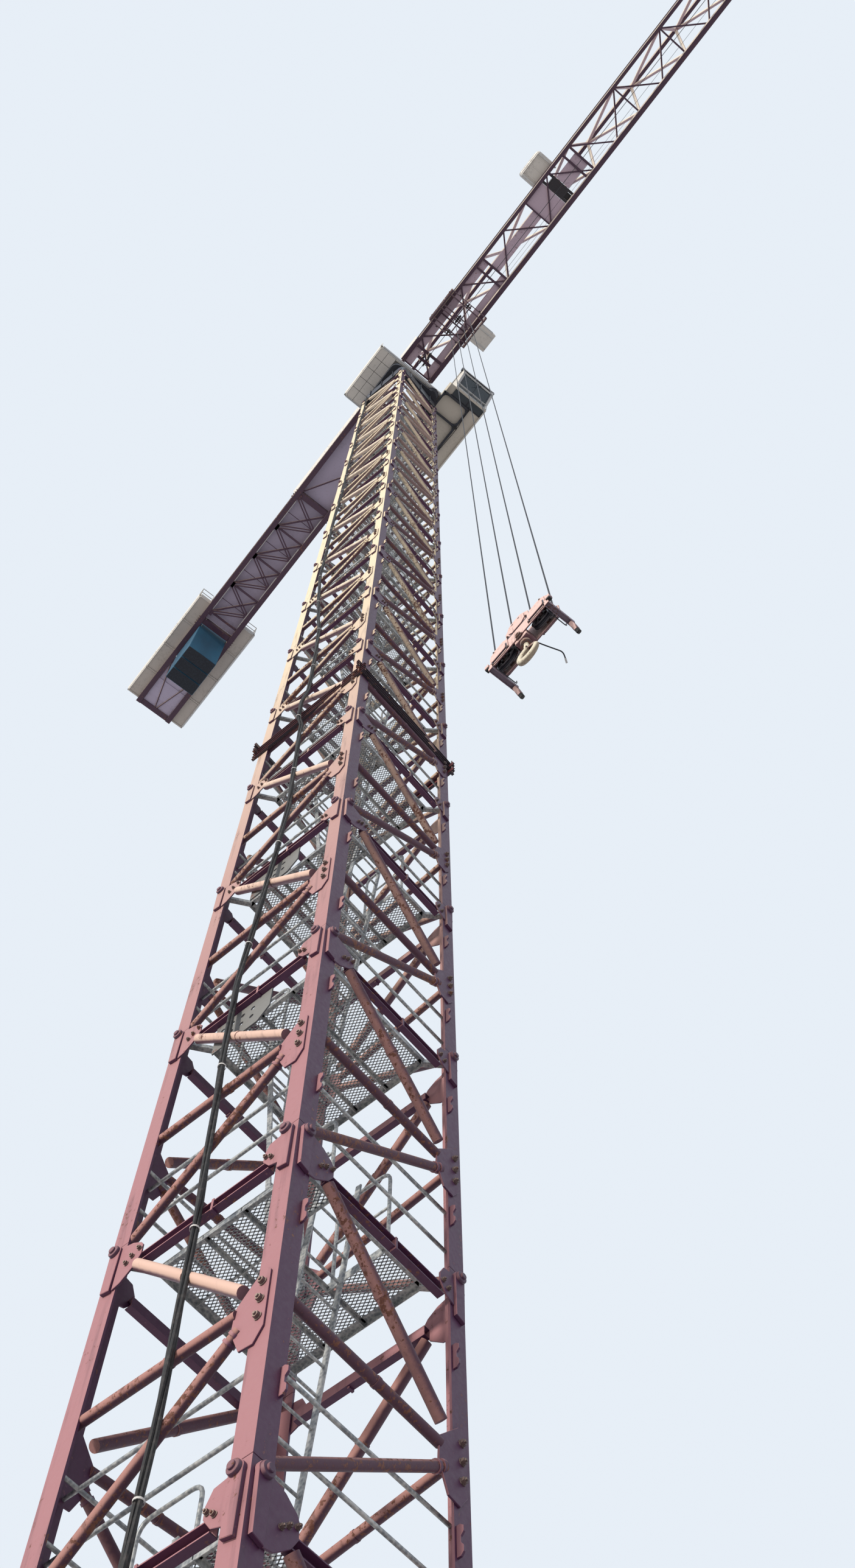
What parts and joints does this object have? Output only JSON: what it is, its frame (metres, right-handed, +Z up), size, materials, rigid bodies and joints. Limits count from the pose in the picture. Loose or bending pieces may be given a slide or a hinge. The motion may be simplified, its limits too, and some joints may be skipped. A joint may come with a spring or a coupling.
{
  "type": "tower crane, 1:2 scale model",
  "caption": "Flat-top tower crane at half scale: braced square mast, slewing head with cab, lattice jib with trolley and hook block, counter-jib with weights.",
  "frame": {"origin": "centre of the base frame's underside, on the ground", "axes": "+Z up along the mast; x and y square to the mast's faces; at rest the jib points 11.5 degrees from +X towards -Y, with the cab on its left"},
  "size_m": [25.3791, 6.1487, 34.6878],
  "materials": {
    "plum_paint": "weathered gloss plum paint",
    "dark_paint": "dark weathered paint",
    "black_paint": "satin black paint",
    "white_paint": "weathered white paint",
    "grey_paint": "satin grey paint",
    "galvanised_steel": "dull galvanised",
    "bare_steel": "greased machined steel",
    "wire_rope": "greased wire rope",
    "cable_rubber": "matt black sheath",
    "teal_concrete": "painted concrete, stands for painted concrete",
    "cab_glazing": "tinted clear glass"
  },
  "bodies": {
    "mast": {"base_frame": "plum_paint", "mast_legs": "plum_paint", "mast_face_front": "plum_paint", "mast_face_right": "plum_paint", "mast_face_back": "plum_paint", "mast_face_left": "plum_paint", "mast_platforms": "galvanised_steel", "mast_ladders": "galvanised_steel", "tie_collar": "dark_paint", "power_cable": "cable_rubber", "ring_support": "black_paint", "slewing_ring": "bare_steel"},
    "upperworks": {"turntable": "black_paint", "slewing_deck": "white_paint", "switch_cabinet": "white_paint", "tower_head": "plum_paint", "cab_support": "black_paint", "cab_body": "white_paint", "cab_glass": "cab_glazing", "deck_rails": "white_paint", "jib_lower_chords": "plum_paint", "jib_top_chord": "plum_paint", "jib_lacing_left": "plum_paint", "jib_lacing_right": "plum_paint", "jib_bottom_lacing": "plum_paint", "jib_walkway": "plum_paint", "jib_tip": "plum_paint", "trolley_winch": "dark_paint", "winch_platform": "white_paint", "root_sheaves": "bare_steel", "counter_jib_beams": "plum_paint", "counter_jib_deck": "plum_paint", "counter_jib_rails": "white_paint", "side_platforms": "galvanised_steel", "counterweights": "teal_concrete", "hoist_winch": "grey_paint"},
    "trolley": {"trolley_frame": "plum_paint", "trolley_wheels": "bare_steel", "trolley_sheaves": "bare_steel", "service_basket": "white_paint", "hoist_falls": "wire_rope"},
    "hook_block": {"block_frame": "plum_paint", "block_sheaves": "bare_steel"},
    "hook": {"hook": "white_paint"}
  },
  "joints": [
    {"name": "slewing", "type": "hinge", "parent": "mast", "child": "upperworks", "pos_m": [0, 0, 31.5553], "axis": [0, 0, 1], "continuous": true},
    {"name": "trolley_travel", "type": "slide", "parent": "upperworks", "child": "trolley", "axis": [0.9799, -0.1994, 0], "range_m": [-0.44, 14]},
    {"name": "hoist", "type": "slide", "parent": "trolley", "child": "hook_block", "axis": [0, 0, 1], "range_m": [-9.3, 22.3], "deforming": ["hoist_falls"]},
    {"name": "hook_swivel", "type": "hinge", "parent": "hook_block", "child": "hook", "pos_m": [1.81286, -0.36883, 9.875], "axis": [0, 0, 1], "continuous": true}
  ]
}
